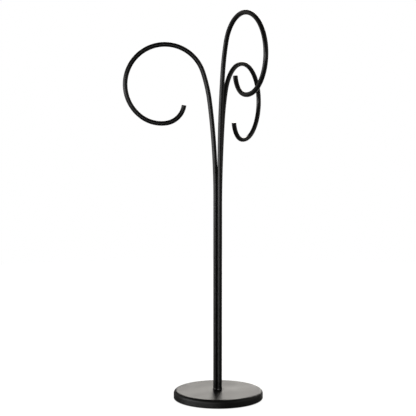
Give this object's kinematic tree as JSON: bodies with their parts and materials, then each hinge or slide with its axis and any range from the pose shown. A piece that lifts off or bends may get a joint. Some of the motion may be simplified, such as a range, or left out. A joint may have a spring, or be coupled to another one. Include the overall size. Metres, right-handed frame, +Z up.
{
  "type": "mug tree",
  "caption": "Tall mug tree: slim black steel rods bundled into a trunk on a heavy round base, each curling outward at the top into an open loop.",
  "frame": {"origin": "centre of the underside of the pad, where the trunk's axis meets the surface that the tree stands on", "axes": "+Z up along the trunk, -X towards the middle loop, the high loop towards +X and -Y, the low loop towards +X and +Y"},
  "size_m": [0.1491, 0.1789, 0.4111],
  "materials": {
    "black_powder_coat": "satin black powder coat on steel",
    "zinc_plated_steel": "bright zinc plating, slightly cloudy",
    "rubber_pad": "matt black rubber sheet with a fine embossed grip"
  },
  "bodies": {
    "root": {"middle_arm_rod": "black_powder_coat", "high_arm_rod": "black_powder_coat", "low_arm_rod": "black_powder_coat", "upper_tack_welds": "black_powder_coat", "middle_tack_welds": "black_powder_coat", "lower_tack_welds": "black_powder_coat", "foot_weld": "black_powder_coat", "weld_stud": "zinc_plated_steel", "base_plate": "black_powder_coat", "flat_washer": "zinc_plated_steel", "lock_washer": "zinc_plated_steel", "hex_nut": "zinc_plated_steel", "base_pad": "rubber_pad"}
  },
  "joints": []
}
